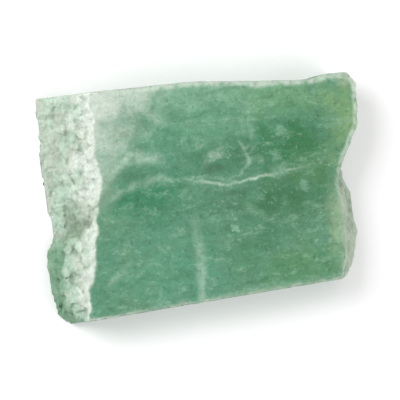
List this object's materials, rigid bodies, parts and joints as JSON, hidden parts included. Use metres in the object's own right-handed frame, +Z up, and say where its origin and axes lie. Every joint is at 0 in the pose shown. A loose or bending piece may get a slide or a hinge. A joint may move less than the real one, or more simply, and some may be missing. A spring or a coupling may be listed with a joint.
{
  "type": "green aventurine slab",
  "caption": "Flat sawn slab of green aventurine quartz with a sloping rough end and a broken end, resting on its sawn base.",
  "frame": {"origin": "middle of the slab's bounding box, on the plane of its sawn base", "axes": "+X along the sawn long edges towards the broken end, +Y towards the back edge, +Z up, square to the sawn faces"},
  "size_m": [0.0748, 0.0506, 0.01],
  "materials": {
    "aventurine": "wet-sawn, unpolished mid green quartz with pale healed cracks, fine mica specks and a chalky white rough end"
  },
  "bodies": {
    "root": {"slab": "aventurine"}
  },
  "joints": []
}
